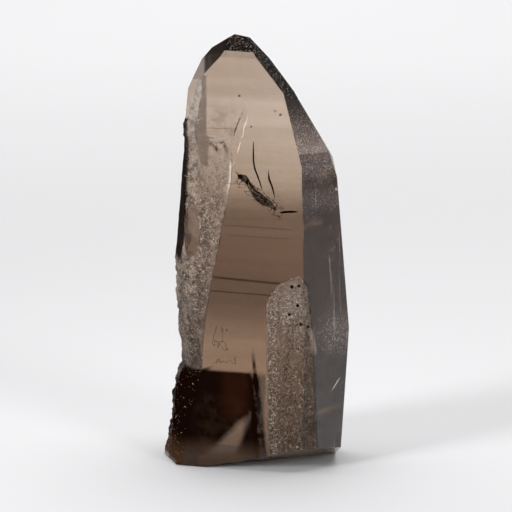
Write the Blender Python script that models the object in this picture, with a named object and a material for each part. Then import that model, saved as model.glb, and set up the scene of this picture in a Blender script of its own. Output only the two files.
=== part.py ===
"""A smoky quartz crystal, about 117 mm tall, standing on the flat cut of its base.

The crystal is the space behind a set of flat growth faces. Cracks are cut into its front face, and its weathered
left side, the scoop in that side and the etched patch at the lower right are then worked into the faces. Lengths are
in millimetres until the last step, which moves the foot of the crystal to the origin and scales it to metres.
"""

import math

import bmesh
import bpy
from mathutils import Matrix, Vector, noise

MM = 0.001
BLOCK = 300.0  # side of the rough block that the faces are cut from
SNAP = 0.02  # a cut this close to a corner goes through the corner
GRID = 1.3  # spacing of the relief on the rough areas

# Each face: azimuth from the front towards the right and upward tilt in degrees, distance from the foot of the axis.
FACES = {
    # prism faces
    "front": (-18.0, 3.5, 18.8),
    "right_front": (44.0, 3.6, 26.9),
    "right_front_low": (44.2, 0.8, 25.45),
    "right": (100.0, 4.6, 26.3),
    "right_low": (92.0, -4.0, 22.4),
    "back": (155.5, 6.0, 17.25),
    "back_left": (-128.0, 5.5, 27.55),
    "left_mid": (-97.0, 4.6, 26.0),
    "left": (-76.0, 2.6, 24.9),
    # faces of the tapering upper part
    "right_rhomb": (41.1, 15.3, 42.95),
    "right_bevel": (84.0, 16.0, 43.7),
    "right_steep": (90.0, 30.4, 60.6),
    "dark_bevel": (54.4, 39.3, 76.3),
    "crown_right": (90.0, 36.8, 69.45),
    "back_rhomb": (151.0, 21.5, 35.75),
    "left_rhomb": (-56.9, 12.9, 40.35),
    "left_shoulder": (-92.0, 25.0, 60.0),
    "left_top": (-92.0, 41.0, 83.55),
    "left_crown": (-98.0, 60.0, 104.2),
    "left_notch": (-59.6, 34.6, 74.15),
    # the strips across the tip
    "top_tan": (-17.4, 20.7, 50.6),
    "top_dark": (-15.7, 43.7, 86.3),
    # the foot
    "chip": (26.1, -71.1, 2.4),
    "base": (180.0, -90.0, 0.0),
}

# The clean part of the front face ends on the left at these (height, x) corners.
CLEAN_EDGE = ((0.0, -20.6), (11.0, -19.9), (32.0, -15.5), (79.0, -6.5), (90.5, -6.2))
UPPER_CLEAN_X = -13.2  # and above the etched step at this x
ETCHED_STEP_Z = 90.5
ETCHED_STEP_RUN = 1.6
CRUST_TOP = 106.5
CRUST_TOP_DROP = 8.0  # how much lower the crust ends round the side
CRUST_TOP_FADE = 9.0
CRUST_BACK_Y = 18.0  # the weathering runs this far round the back
CRUST_BACK_FADE = 9.0
CRUST_SIDE_Y = (-8.0, -3.0)  # it turns from the front to the side here
SMOOTH_SIDE_Z = (56.0, 95.0)  # the side keeps little of its crust between these heights
SMOOTH_SIDE_SHARE = 0.75
SIDE_LOOKS = -0.9  # a surface that looks this far to the left belongs to the side

# The outline of the left side steps in below the middle: (height, inward shift).
LEFT_DENT = (
    (0.0, 0.5),
    (10.0, 1.5),
    (18.0, 2.1),
    (23.6, 2.6),
    (26.8, 3.8),
    (33.0, 3.0),
    (40.5, 2.2),
    (46.8, 0.9),
    (52.5, 0.1),
    (56.0, -0.4),
    (60.0, 0.0),
    (120.0, 0.0),
)
DENT_FADE_X = (-21.0, -12.0)

FRONT_FADE_Y = (-13.0, 0.0)  # the recess and the scoop are worked in from the front only

RECESS_SLOPE = 0.15  # the etched band leaves the front face at about 9 degrees
RECESS_BREAK = 8.0  # and turns away faster this far from the clean face
RECESS_STEEP = 0.45
RECESS_DEEPEST = 2.8

SCOOP_X, SCOOP_Z = -18.0, 64.5
SCOOP_HALF_WIDTH, SCOOP_HALF_HEIGHT, SCOOP_DEPTH = 2.4, 7.6, 0.9

# The etched patch, seen from the front as (x, height) corners, anticlockwise.
PATCH = ((3.0, 1.0), (17.2, 1.0), (16.5, 20.0), (15.6, 37.0), (14.3, 50.4), (11.8, 54.0), (5.6, 51.0), (2.4, 46.0))
PATCH_DEPTH = 0.55
PATCH_RIM = 1.4
RIDGE_SIZE, RIDGE_STRETCH, RIDGE_HEIGHT = 2.4, 4.0, 0.35
PATCH_GRAIN_SIZE, PATCH_GRAIN_HEIGHT = 1.7, 0.2

LUMP_SIZE, LUMP_STRETCH, LUMP_HEIGHT = 4.6, 1.4, 0.8
GRAIN_SIZE, GRAIN_HEIGHT = 2.1, 0.4

# Cracks that open at the front face: the line as (x, height) points seen from the front, how wide the crack gapes,
# how deep it runs and how much it climbs for each millimetre inwards.
CRACKS = {
    "long": {
        "line": ((-0.7, 89.2), (-0.7, 84.1), (-0.4, 82.0), (0.9, 78.5), (1.7, 76.0)),
        "gape": 0.45,
        "depth": 3.5,
        "climb": -0.11,
    },
    "short": {
        "line": ((3.3, 81.5), (3.6, 79.1), (4.4, 77.0), (4.8, 75.4), (5.1, 73.8)),
        "gape": 0.4,
        "depth": 3.0,
        "climb": -0.11,
    },
    "level": {"line": ((6.3, 70.2), (8.6, 70.5), (11.3, 70.6)), "gape": 0.6, "depth": 3.0, "climb": -0.11},
    "wavy": {
        "line": ((-5.0, 79.4), (-2.7, 77.7), (-1.1, 74.9), (0.0, 73.4), (1.6, 72.3), (5.5, 70.9)),
        "gape": 0.25,
        "depth": 8.0,
        "climb": 0.25,
    },
}
CRACK_TURN = 0.11  # and how much it turns to the right on the way in
CRACK_MOUTH = 0.4  # the blade that cuts a crack starts this far outside the face, and is flat to as far inside
CRACK_END = 0.3  # depth of a crack at the ends of its line, as a part of its full depth
CRACK_TIP = 0.35  # its thickness at the inner edge, as a part of its mouth
CRACK_WAVE, CRACK_WAVE_SIZE = 0.35, 2.6
CRACK_STEP, CRACK_ROWS = 1.1, 3  # spacing of its corners along the line, and rows of faces inwards

CLEAN, PATCHED, WEATHERED = 0, 1, 2  # what each face is marked with


def clear_scene():
    """Remove whatever the file holds."""
    for item in list(bpy.data.objects):
        bpy.data.objects.remove(item, do_unlink=True)


def face_normal(name):
    azimuth, tilt, _ = FACES[name]
    a, t = math.radians(azimuth), math.radians(tilt)
    return Vector((math.sin(a) * math.cos(t), -math.cos(a) * math.cos(t), math.sin(t)))


def cut_faces(bm):
    """Cut the block along every face, and number the faces in a layer."""
    bmesh.ops.create_cube(bm, size=BLOCK)
    number = bm.faces.layers.int.new("face")
    bm.faces.layers.int.new("area")
    for index, name in enumerate(FACES):
        normal = face_normal(name)
        everything = bm.verts[:] + bm.edges[:] + bm.faces[:]
        cut = bmesh.ops.bisect_plane(
            bm, geom=everything, dist=1e-4, plane_co=normal * FACES[name][2], plane_no=normal, clear_outer=True
        )
        rim = [item for item in cut["geom_cut"] if isinstance(item, bmesh.types.BMEdge)]
        for face in bmesh.ops.contextual_create(bm, geom=rim)["faces"]:
            face[number] = index
    bmesh.ops.recalc_face_normals(bm, faces=bm.faces[:])


def faces_named(bm, *names):
    number = bm.faces.layers.int["face"]
    wanted = {list(FACES).index(name) for name in names}
    return [face for face in bm.faces if face[number] in wanted]


def faces_of_area(bm, area):
    return [face for face in bm.faces if face[bm.faces.layers.int["area"]] == area]


def mark_areas(bm):
    """Part the etched patch and the weathered side from the clean faces, and mark them."""
    layer = bm.faces.layers.int["area"]
    for area, find in ((PATCHED, patch_faces), (WEATHERED, weathered_faces)):
        for face in find(bm):
            face[layer] = area


def slice_faces(bm, faces, point, normal):
    """Cut these faces along a plane and return all their pieces."""
    if not faces:
        return []
    geometry = dict.fromkeys(faces)
    for face in faces:
        geometry.update(dict.fromkeys(face.verts))
        geometry.update(dict.fromkeys(face.edges))
    cut = bmesh.ops.bisect_plane(bm, geom=list(geometry), dist=SNAP, plane_co=point, plane_no=normal)
    return [item for item in cut["geom"] if isinstance(item, bmesh.types.BMFace)]


def split_off(bm, faces, point, normal):
    """Cut these faces along a plane and return the pieces behind it."""
    pieces = slice_faces(bm, faces, point, normal)
    return [face for face in pieces if (face.calc_center_median() - Vector(point)).dot(Vector(normal)) < 0.0]


def left_of(bm, faces, low, high):
    """The pieces of these faces between two heights, to the left of the line from low to high, each (height, x)."""
    across = Vector((high[0] - low[0], 0.0, -(high[1] - low[1])))
    band = split_off(bm, faces, (0.0, 0.0, high[0]), (0.0, 0.0, 1.0))
    band = split_off(bm, band, (0.0, 0.0, low[0]), (0.0, 0.0, -1.0))
    return split_off(bm, band, (low[1], 0.0, low[0]), across.normalized())


def weathered_faces(bm):
    """The pieces of the faces that carry the crust and the etched band."""
    found = []
    for low, high in zip(CLEAN_EDGE, CLEAN_EDGE[1:]):
        found += left_of(bm, faces_named(bm, "front"), low, high)
    above = (ETCHED_STEP_Z, UPPER_CLEAN_X), (CRUST_TOP, UPPER_CLEAN_X)
    found += left_of(bm, faces_named(bm, "front"), *above)
    found += faces_named(bm, "left", "left_mid")
    found += split_off(bm, faces_named(bm, "back_left"), (0.0, CRUST_BACK_Y, 0.0), (0.0, 1.0, 0.0))
    found += faces_named(bm, "left_rhomb")
    return list(dict.fromkeys(found))


def patch_faces(bm):
    """The pieces of the front faces inside the outline of the etched patch."""
    pieces = faces_named(bm, "front", "right_front", "right_front_low")
    for start, end in zip(PATCH, PATCH[1:] + PATCH[:1]):
        outward = Vector((end[1] - start[1], 0.0, -(end[0] - start[0]))).normalized()
        pieces = split_off(bm, pieces, (start[0], 0.0, start[1]), outward)
    return pieces


def lay_grid(bm, faces, step):
    """Divide faces by level cuts, then by upright cuts across the way each face looks."""
    top = max(vert.co.z for face in faces for vert in face.verts)
    for level in range(1, int(top / step) + 1):
        faces = slice_faces(bm, faces, (0.0, 0.0, level * step), (0.0, 0.0, 1.0))
    for axis in (0, 1):
        looks_along = [face for face in faces if (abs(face.normal.x) > 0.72) == (axis == 1)]
        others = [face for face in faces if (abs(face.normal.x) > 0.72) != (axis == 1)]
        if looks_along:
            low = min(vert.co[axis] for face in looks_along for vert in face.verts)
            high = max(vert.co[axis] for face in looks_along for vert in face.verts)
            across = Vector((1.0, 0.0, 0.0)) if axis == 0 else Vector((0.0, 1.0, 0.0))
            for place in range(math.ceil(low / step), int(high / step) + 1):
                looks_along = slice_faces(bm, looks_along, across * (place * step), across)
        faces = looks_along + others
    return faces


def ease(low, high, value):
    """0 below low, 1 above high, smooth between."""
    t = min(1.0, max(0.0, (value - low) / (high - low)))
    return t * t * (3.0 - 2.0 * t)


def along(table, value):
    """Straight lines between the (place, amount) pairs of a table."""
    for (a, low), (b, high) in zip(table, table[1:]):
        if value <= b:
            return low + (high - low) * max(0.0, value - a) / (b - a)
    return table[-1][1]


def beyond_clean_edge(x, z):
    """How far a point seen from the front lies to the left of the clean part of the front face."""
    above = ease(ETCHED_STEP_Z - ETCHED_STEP_RUN, ETCHED_STEP_Z - 0.05, z)
    edge = along(CLEAN_EDGE, z)
    return max(0.0, edge + (UPPER_CLEAN_X - edge) * above - x)


def patch_inside(x, z):
    """How far a point seen from the front lies inside the outline of the patch."""
    nearest = math.inf
    for (ax, az), (bx, bz) in zip(PATCH, PATCH[1:] + PATCH[:1]):
        length = math.hypot(bx - ax, bz - az)
        nearest = min(nearest, ((bx - ax) * (z - az) - (bz - az) * (x - ax)) / length)
    return nearest


def bumps(co, size, stretch=1.0):
    return noise.noise(Vector((co.x / size, co.y / size, co.z / (size * stretch))))


def crust_share(co, normal):
    """How much of the crust's lumps a place has: none at its edges, little on the smooth part of the side."""
    at_side = ease(*CRUST_SIDE_Y, co.y)
    share = max(at_side, ease(0.0, 2.5, beyond_clean_edge(co.x, co.z)))
    share *= 1.0 - ease(CRUST_BACK_Y - CRUST_BACK_FADE, CRUST_BACK_Y, co.y)
    top = CRUST_TOP - 3.0 - CRUST_TOP_DROP * at_side
    share *= (1.0 - ease(top - 7.0, top, co.z)) * ease(0.0, 3.0, co.z)
    if normal.x < SIDE_LOOKS:
        low, high = SMOOTH_SIDE_Z
        smooth = ease(low - 2.0, low + 2.0, co.z) * (1.0 - ease(high - 2.0, high + 2.0, co.z))
        share *= 1.0 - SMOOTH_SIDE_SHARE * smooth
    return share


def weathered_shift(co, normal):
    """How the left side moves: the recess, the scoop, the dent of the outline and the lumps of the crust."""
    from_clean = beyond_clean_edge(co.x, co.z)
    front = 1.0 - ease(*FRONT_FADE_Y, co.y)
    recess = RECESS_SLOPE * min(from_clean, RECESS_BREAK) + RECESS_STEEP * max(0.0, from_clean - RECESS_BREAK)
    recess = min(recess, RECESS_DEEPEST) * (1.0 - ease(CRUST_TOP - CRUST_TOP_FADE, CRUST_TOP, co.z))
    across, up = (co.x - SCOOP_X) / SCOOP_HALF_WIDTH, (co.z - SCOOP_Z) / SCOOP_HALF_HEIGHT
    scoop = SCOOP_DEPTH * max(0.0, 1.0 - across * across - up * up)
    outward = face_normal("front")
    shift = -Vector((outward.x, outward.y, 0.0)).normalized() * ((recess + scoop) * front)
    round_back = 1.0 - ease(CRUST_BACK_Y - CRUST_BACK_FADE, CRUST_BACK_Y, co.y)
    shift.x += along(LEFT_DENT, co.z) * (1.0 - ease(*DENT_FADE_X, co.x)) * round_back
    height = LUMP_HEIGHT * bumps(co, LUMP_SIZE, LUMP_STRETCH) + GRAIN_HEIGHT * bumps(co, GRAIN_SIZE)
    return shift + normal * (height * crust_share(co, normal))


def patch_shift(co, normal):
    """How the etched patch moves: a shallow sunken field of upright ridges."""
    depth = ease(0.0, PATCH_RIM, patch_inside(co.x, co.z))
    ridges = RIDGE_HEIGHT * bumps(co, RIDGE_SIZE, RIDGE_STRETCH)
    return normal * (depth * (ridges + PATCH_GRAIN_HEIGHT * bumps(co, PATCH_GRAIN_SIZE) - PATCH_DEPTH))


def on_front(x, z):
    """The point of the front face at x and a height."""
    normal = face_normal("front")
    return Vector((x, (FACES["front"][2] - normal.x * x - normal.z * z) / normal.y, z))


def walk(line, step):
    """Points at an even spacing along a line of points, each with the way the line runs there."""
    points = [Vector(point) for point in line]
    for start, end in zip(points, points[1:]):
        count = max(1, round((end - start).length / step))
        for index in range(count):
            yield start.lerp(end, index / count), (end - start).normalized()
    yield points[-1], (points[-1] - points[-2]).normalized()


def blade_ring(bm, place, way, crack, size, rows):
    """The corners of a cut across a blade, down one side and up the other. At its ends the sides meet."""
    mouth = on_front(place.x, place.y)
    inward = Vector((CRACK_TURN, 1.0, crack["climb"])).normalized()
    across = Vector((-way.y, 0.0, way.x))
    one_side, other_side = [], []
    reach = crack["depth"] * max(size, CRACK_END)
    for row in range(-1, rows + 1):
        sunk = CRACK_MOUTH + (reach - CRACK_MOUTH) * row / rows if row >= 0 else -CRACK_MOUTH
        half = crack["gape"] / 2.0 * size * (1.0 - (1.0 - CRACK_TIP) * max(0, row) / rows)
        centre = mouth + inward * sunk
        wave = CRACK_WAVE * ease(CRACK_MOUTH, 3.0, sunk) * bumps(centre, CRACK_WAVE_SIZE)
        one_side.append(bm.verts.new(centre + across * (wave - half)))
        other_side.append(bm.verts.new(centre + across * (wave + half)) if half else one_side[-1])
    return one_side + other_side[::-1]


def add_blade(bm, crack, step, rows):
    """Add the blade that cuts a crack: thick in the middle of its line, sharp at both ends, thin at its inner edge."""
    stations = list(walk(crack["line"], step))
    rings = []
    for index, (place, way) in enumerate(stations):
        part = index / (len(stations) - 1)
        size = math.sqrt(4.0 * part * (1.0 - part))
        rings.append(blade_ring(bm, place, way, crack, size, rows))
    for one, two in zip(rings, rings[1:]):
        for index in range(len(one)):
            after = (index + 1) % len(one)
            bm.faces.new(dict.fromkeys((one[index], one[after], two[after], two[index])))


def crack_blades(step, rows):
    """All the blades as one mesh. Their faces are numbered after those of the crystal."""
    bm = bmesh.new()
    number = bm.faces.layers.int.new("face")
    bm.faces.layers.int.new("area")
    for crack in CRACKS.values():
        add_blade(bm, crack, step, rows)
    bmesh.ops.recalc_face_normals(bm, faces=bm.faces[:])
    for face in bm.faces:
        face[number] = len(FACES)
    return mesh_of("cracks", bm)


def mesh_of(name, bm):
    mesh = bpy.data.meshes.new(name)
    bm.to_mesh(mesh)
    bm.free()
    return mesh


def cut_out(mesh, blades):
    """Cut the blades out of a mesh, and return what is left to be worked on."""
    body, tool = bpy.data.objects.new("uncut", mesh), bpy.data.objects.new("blades", blades)
    for item in (body, tool):
        bpy.context.scene.collection.objects.link(item)
    cut = body.modifiers.new("cracks", "BOOLEAN")
    cut.operation, cut.solver, cut.object = "DIFFERENCE", "EXACT", tool
    left = bpy.data.meshes.new_from_object(body.evaluated_get(bpy.context.evaluated_depsgraph_get()))
    for item in (body, tool):
        bpy.data.objects.remove(item)
    bm = bmesh.new()
    bm.from_mesh(left)
    return bm


def work(faces, shift):
    """Move the corners of these faces by a shift that depends on the place and on the way the surface looks."""
    normals = {}
    for face in faces:
        for vert in face.verts:
            normals.setdefault(vert, {})[tuple(round(value, 3) for value in face.normal)] = face.normal.copy()
    moved = {}
    for vert, looks in normals.items():
        normal = sum(looks.values(), Vector()).normalized()
        if vert.co.z < SNAP:
            normal = Vector((normal.x, normal.y, 0.0))
        moved[vert] = vert.co + shift(vert.co, normal)
    for vert, place in moved.items():
        vert.co = place


def foot_of(bm):
    """The middle of the crystal's plan, at the height of its foot."""
    low = [min(vert.co[axis] for vert in bm.verts) for axis in range(2)]
    high = [max(vert.co[axis] for vert in bm.verts) for axis in range(2)]
    return Vector(((low[0] + high[0]) / 2.0, (low[1] + high[1]) / 2.0, 0.0))


def build_crystal():
    bm = bmesh.new()
    cut_faces(bm)
    mark_areas(bm)
    bm = cut_out(mesh_of("uncracked", bm), crack_blades(CRACK_STEP, CRACK_ROWS))
    work(lay_grid(bm, faces_of_area(bm, PATCHED), GRID), patch_shift)
    work(lay_grid(bm, faces_of_area(bm, WEATHERED), GRID), weathered_shift)
    bmesh.ops.dissolve_degenerate(bm, dist=0.01, edges=bm.edges[:])
    bmesh.ops.triangulate(bm, faces=bm.faces[:])
    to_metres = Matrix.Scale(MM, 4) @ Matrix.Translation(-foot_of(bm))
    bmesh.ops.transform(bm, matrix=to_metres, verts=bm.verts[:])
    return mesh_of("crystal", bm)


def smoky_quartz():
    material = bpy.data.materials.new("smoky_quartz")
    material.use_nodes = True
    shader = material.node_tree.nodes["Principled BSDF"]
    shader.inputs["Base Color"].default_value = (0.55, 0.43, 0.33, 1.0)
    shader.inputs["Roughness"].default_value = 0.08
    shader.inputs["Metallic"].default_value = 0.0
    shader.inputs["IOR"].default_value = 1.54
    shader.inputs["Transmission Weight"].default_value = 1.0
    return material


def main():
    clear_scene()
    crystal = bpy.data.objects.new("crystal", build_crystal())
    crystal.data.materials.append(smoky_quartz())
    bpy.context.scene.collection.objects.link(crystal)


main()
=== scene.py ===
"""A smoky quartz crystal on a pale floor.

The fine crystal and the grains strewn on it, their finish with painted shade and highlights, the floor, the
light and the camera.
"""

import math

import bmesh
import bpy
from mathutils import Matrix, Vector, noise


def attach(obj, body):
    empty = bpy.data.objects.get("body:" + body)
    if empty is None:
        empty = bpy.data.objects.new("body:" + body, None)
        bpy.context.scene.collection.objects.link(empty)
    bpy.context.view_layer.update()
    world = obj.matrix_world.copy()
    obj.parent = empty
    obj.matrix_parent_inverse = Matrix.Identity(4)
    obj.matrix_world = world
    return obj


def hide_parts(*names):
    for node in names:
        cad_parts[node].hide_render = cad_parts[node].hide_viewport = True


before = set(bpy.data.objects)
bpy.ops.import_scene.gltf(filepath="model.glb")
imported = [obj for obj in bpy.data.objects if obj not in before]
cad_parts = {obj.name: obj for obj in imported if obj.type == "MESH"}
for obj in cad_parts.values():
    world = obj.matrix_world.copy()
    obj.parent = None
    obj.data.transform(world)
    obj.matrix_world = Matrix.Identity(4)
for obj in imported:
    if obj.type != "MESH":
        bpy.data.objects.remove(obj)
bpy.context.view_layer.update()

MM = 0.001
BLOCK = 300.0  # side of the rough block that the faces are cut from
SNAP = 0.02  # a cut this close to a corner goes through the corner

# Each face: azimuth from the front towards the right and upward tilt in degrees, and how far
# it lies from the foot of the axis.
FACES = {
    # prism faces
    "front": (-18.0, 3.5, 18.8),
    "right_front": (44.0, 3.6, 26.9),
    "right_front_low": (44.2, 0.8, 25.45),
    "right": (100.0, 4.6, 26.3),
    "right_low": (92.0, -4.0, 22.4),
    "back": (155.5, 6.0, 17.25),
    "back_left": (-128.0, 5.5, 27.55),
    "left_mid": (-97.0, 4.6, 26.0),
    "left": (-76.0, 2.6, 24.9),
    # faces of the tapering upper part
    "right_rhomb": (41.1, 15.3, 42.95),
    "right_bevel": (84.0, 16.0, 43.7),
    "right_steep": (90.0, 30.4, 60.6),
    "dark_bevel": (54.4, 39.3, 76.3),
    "crown_right": (90.0, 36.8, 69.45),
    "back_rhomb": (151.0, 21.5, 35.75),
    "left_rhomb": (-56.9, 12.9, 40.35),
    "left_shoulder": (-92.0, 25.0, 60.0),
    "left_top": (-92.0, 41.0, 83.55),
    "left_crown": (-98.0, 60.0, 104.2),
    "left_notch": (-59.6, 34.6, 74.15),
    # the strips across the tip
    "top_tan": (-17.4, 20.7, 50.6),
    "top_dark": (-15.7, 43.7, 86.3),
    # the foot
    "chip": (26.1, -71.1, 2.4),
    "base": (180.0, -90.0, 0.0),
}

# The clean part of the front face ends on the left at these (height, x) corners.
CLEAN_EDGE = ((0.0, -20.6), (11.0, -19.9), (32.0, -15.5), (79.0, -6.5), (90.5, -6.2))
UPPER_CLEAN_X = -13.2  # and above the etched step at this x
ETCHED_STEP_Z = 90.5
ETCHED_STEP_RUN = 1.6
CRUST_TOP = 106.5
CRUST_TOP_DROP = 8.0  # how much lower the crust ends round the side
CRUST_TOP_FADE = 9.0
CRUST_BACK_Y = 18.0  # the weathering runs this far round the back
CRUST_BACK_FADE = 9.0
CRUST_SIDE_Y = (-8.0, -3.0)  # it turns from the front to the side here
SMOOTH_SIDE_Z = (56.0, 95.0)  # the side keeps little of its crust between these heights
SMOOTH_SIDE_SHARE = 0.75
SIDE_LOOKS = -0.9  # a surface that looks this far to the left belongs to the side

# The outline of the left side steps in below the middle: (height, inward shift).
LEFT_DENT = ((0.0, 0.5), (10.0, 1.5), (18.0, 2.1), (23.6, 2.6), (26.8, 3.8), (33.0, 3.0))
LEFT_DENT += ((40.5, 2.2), (46.8, 0.9), (52.5, 0.1), (56.0, -0.4), (60.0, 0.0), (120.0, 0.0))
DENT_FADE_X = (-21.0, -12.0)

FRONT_FADE_Y = (-13.0, 0.0)  # the recess and the scoop are worked in from the front only

RECESS_SLOPE = 0.15  # the etched band leaves the front face at about 9 degrees
RECESS_BREAK = 8.0  # and turns away faster this far from the clean face
RECESS_STEEP = 0.45
RECESS_DEEPEST = 2.8

SCOOP_X, SCOOP_Z = -18.0, 64.5
SCOOP_HALF_WIDTH, SCOOP_HALF_HEIGHT, SCOOP_DEPTH = 2.4, 7.6, 0.9

# The etched patch, seen from the front as (x, height) corners, anticlockwise.
PATCH = ((3.0, 1.0), (17.2, 1.0), (16.5, 20.0), (15.6, 37.0))
PATCH += ((14.3, 50.4), (11.8, 54.0), (5.6, 51.0), (2.4, 46.0))
PATCH_DEPTH = 0.55
PATCH_RIM = 1.4
RIDGE_SIZE, RIDGE_STRETCH, RIDGE_HEIGHT = 2.4, 4.0, 0.35
PATCH_GRAIN_SIZE, PATCH_GRAIN_HEIGHT = 1.7, 0.2

LUMP_SIZE, LUMP_STRETCH, LUMP_HEIGHT = 4.6, 1.4, 0.8
GRAIN_SIZE, GRAIN_HEIGHT = 2.1, 0.4

# Cracks that open at the front face: the line as (x, height) points seen from the front, how wide
# the crack gapes, how deep it runs and how much it climbs for each millimetre inwards.
CRACKS = {
    "long": {
        "line": ((-0.7, 89.2), (-0.7, 84.1), (-0.4, 82.0), (0.9, 78.5), (1.7, 76.0)),
        "gape": 0.45,
        "depth": 3.5,
        "climb": -0.11,
    },
    "short": {
        "line": ((3.3, 81.5), (3.6, 79.1), (4.4, 77.0), (4.8, 75.4), (5.1, 73.8)),
        "gape": 0.4,
        "depth": 3.0,
        "climb": -0.11,
    },
    "level": {"line": ((6.3, 70.2), (8.6, 70.5), (11.3, 70.6)), "gape": 0.6, "depth": 3.0, "climb": -0.11},
    "wavy": {
        "line": ((-5.0, 79.4), (-2.7, 77.7), (-1.1, 74.9), (0.0, 73.4), (1.6, 72.3), (5.5, 70.9)),
        "gape": 0.25,
        "depth": 8.0,
        "climb": 0.25,
    },
}
CRACK_TURN = 0.11  # and how much it turns to the right on the way in
CRACK_MOUTH = 0.4  # the blade that cuts a crack starts this far outside the face, flat to as far inside
CRACK_END = 0.3  # depth of a crack at the ends of its line, as a part of its full depth
CRACK_TIP = 0.35  # its thickness at the inner edge, as a part of its mouth
CRACK_WAVE, CRACK_WAVE_SIZE = 0.35, 2.6

CLEAN, PATCHED, WEATHERED = 0, 1, 2  # what each face is marked with


def face_normal(name):
    azimuth, tilt, _ = FACES[name]
    a, t = math.radians(azimuth), math.radians(tilt)
    return Vector((math.sin(a) * math.cos(t), -math.cos(a) * math.cos(t), math.sin(t)))


def cut_faces(bm):
    """Cut the block along every face, and number the faces in a layer."""
    bmesh.ops.create_cube(bm, size=BLOCK)
    number = bm.faces.layers.int.new("face")
    bm.faces.layers.int.new("area")
    for index, name in enumerate(FACES):
        normal = face_normal(name)
        everything = bm.verts[:] + bm.edges[:] + bm.faces[:]
        plane = {"plane_co": normal * FACES[name][2], "plane_no": normal, "clear_outer": True}
        cut = bmesh.ops.bisect_plane(bm, geom=everything, dist=1e-4, **plane)
        rim = [item for item in cut["geom_cut"] if isinstance(item, bmesh.types.BMEdge)]
        for face in bmesh.ops.contextual_create(bm, geom=rim)["faces"]:
            face[number] = index
    bmesh.ops.recalc_face_normals(bm, faces=bm.faces[:])


def faces_named(bm, *names):
    number = bm.faces.layers.int["face"]
    wanted = {list(FACES).index(name) for name in names}
    return [face for face in bm.faces if face[number] in wanted]


def faces_of_area(bm, area):
    return [face for face in bm.faces if face[bm.faces.layers.int["area"]] == area]


def mark_areas(bm):
    """Part the etched patch and the weathered side from the clean faces, and mark them."""
    layer = bm.faces.layers.int["area"]
    for area, find in ((PATCHED, patch_faces), (WEATHERED, weathered_faces)):
        for face in find(bm):
            face[layer] = area


def slice_faces(bm, faces, point, normal):
    """Cut these faces along a plane and return all their pieces."""
    if not faces:
        return []
    geometry = dict.fromkeys(faces)
    for face in faces:
        geometry.update(dict.fromkeys(face.verts))
        geometry.update(dict.fromkeys(face.edges))
    cut = bmesh.ops.bisect_plane(bm, geom=list(geometry), dist=SNAP, plane_co=point, plane_no=normal)
    return [item for item in cut["geom"] if isinstance(item, bmesh.types.BMFace)]


def split_off(bm, faces, point, normal):
    """Cut these faces along a plane and return the pieces behind it."""
    pieces = slice_faces(bm, faces, point, normal)
    return [face for face in pieces if (face.calc_center_median() - Vector(point)).dot(Vector(normal)) < 0.0]


def left_of(bm, faces, low, high):
    """The pieces of these faces to the left of the line from low to high, each a (height, x)."""
    across = Vector((high[0] - low[0], 0.0, -(high[1] - low[1])))
    band = split_off(bm, faces, (0.0, 0.0, high[0]), (0.0, 0.0, 1.0))
    band = split_off(bm, band, (0.0, 0.0, low[0]), (0.0, 0.0, -1.0))
    return split_off(bm, band, (low[1], 0.0, low[0]), across.normalized())


def weathered_faces(bm):
    """The pieces of the faces that carry the crust and the etched band."""
    found = []
    for low, high in zip(CLEAN_EDGE, CLEAN_EDGE[1:]):
        found += left_of(bm, faces_named(bm, "front"), low, high)
    above = (ETCHED_STEP_Z, UPPER_CLEAN_X), (CRUST_TOP, UPPER_CLEAN_X)
    found += left_of(bm, faces_named(bm, "front"), *above)
    found += faces_named(bm, "left", "left_mid")
    found += split_off(bm, faces_named(bm, "back_left"), (0.0, CRUST_BACK_Y, 0.0), (0.0, 1.0, 0.0))
    found += faces_named(bm, "left_rhomb")
    return list(dict.fromkeys(found))


def patch_faces(bm):
    """The pieces of the front faces inside the outline of the etched patch."""
    pieces = faces_named(bm, "front", "right_front", "right_front_low")
    for start, end in zip(PATCH, PATCH[1:] + PATCH[:1]):
        outward = Vector((end[1] - start[1], 0.0, -(end[0] - start[0]))).normalized()
        pieces = split_off(bm, pieces, (start[0], 0.0, start[1]), outward)
    return pieces


def lay_grid(bm, faces, step):
    """Divide faces by level cuts, then by upright cuts across the way each face looks."""
    top = max(vert.co.z for face in faces for vert in face.verts)
    for level in range(1, int(top / step) + 1):
        faces = slice_faces(bm, faces, (0.0, 0.0, level * step), (0.0, 0.0, 1.0))
    for axis in (0, 1):
        looks_along = [face for face in faces if (abs(face.normal.x) > 0.72) == (axis == 1)]
        others = [face for face in faces if (abs(face.normal.x) > 0.72) != (axis == 1)]
        if looks_along:
            low = min(vert.co[axis] for face in looks_along for vert in face.verts)
            high = max(vert.co[axis] for face in looks_along for vert in face.verts)
            across = Vector((1.0, 0.0, 0.0)) if axis == 0 else Vector((0.0, 1.0, 0.0))
            for place in range(math.ceil(low / step), int(high / step) + 1):
                looks_along = slice_faces(bm, looks_along, across * (place * step), across)
        faces = looks_along + others
    return faces


def ease(low, high, value):
    """0 below low, 1 above high, smooth between."""
    t = min(1.0, max(0.0, (value - low) / (high - low)))
    return t * t * (3.0 - 2.0 * t)


def along(table, value):
    """Straight lines between the (place, amount) pairs of a table."""
    for (a, low), (b, high) in zip(table, table[1:]):
        if value <= b:
            return low + (high - low) * max(0.0, value - a) / (b - a)
    return table[-1][1]


def beyond_clean_edge(x, z):
    """How far a point seen from the front lies to the left of the clean part of the front face."""
    above = ease(ETCHED_STEP_Z - ETCHED_STEP_RUN, ETCHED_STEP_Z - 0.05, z)
    edge = along(CLEAN_EDGE, z)
    return max(0.0, edge + (UPPER_CLEAN_X - edge) * above - x)


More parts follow.
